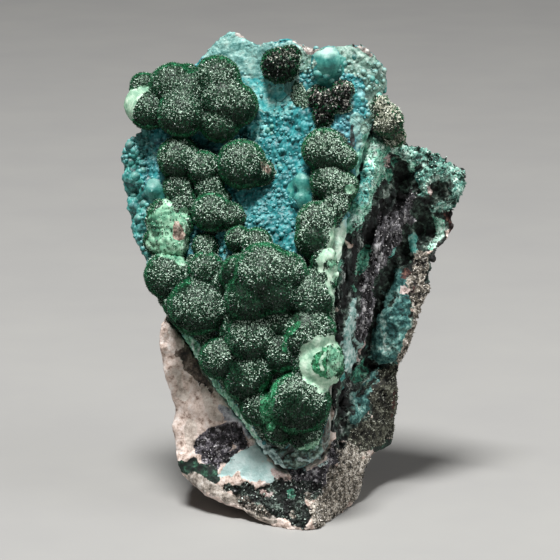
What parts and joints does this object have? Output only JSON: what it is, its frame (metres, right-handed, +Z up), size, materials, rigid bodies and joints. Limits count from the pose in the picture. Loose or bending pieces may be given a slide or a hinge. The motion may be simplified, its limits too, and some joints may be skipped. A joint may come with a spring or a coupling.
{
  "type": "malachite and chrysocolla mineral specimen",
  "caption": "Upright mineral hand specimen: velvety green malachite balls on a turquoise chrysocolla crust over broken host rock, standing on its flat foot.",
  "frame": {"origin": "middle of the flat foot that the specimen stands on", "axes": "+Z up, -Y out of the crystal-covered face, +X to the right of someone who looks at that face"},
  "size_m": [0.0698, 0.0473, 0.0948],
  "materials": {
    "host_rock": "rough broken rhyolite, pinkish tan, with dark oxide seams",
    "chrysocolla": "turquoise botryoidal crust, waxy sheen",
    "malachite": "dark green velvet of tiny sparkling crystals"
  },
  "bodies": {
    "root": {"host_rock": "host_rock", "chrysocolla_crust": "chrysocolla", "malachite_main_mass": "malachite", "malachite_right_column": "malachite", "malachite_left_column": "malachite", "malachite_upper_left": "malachite", "malachite_centre_ball": "malachite", "malachite_top_ball": "malachite", "malachite_crown_tuft": "malachite", "malachite_shoulder": "malachite"}
  },
  "joints": []
}
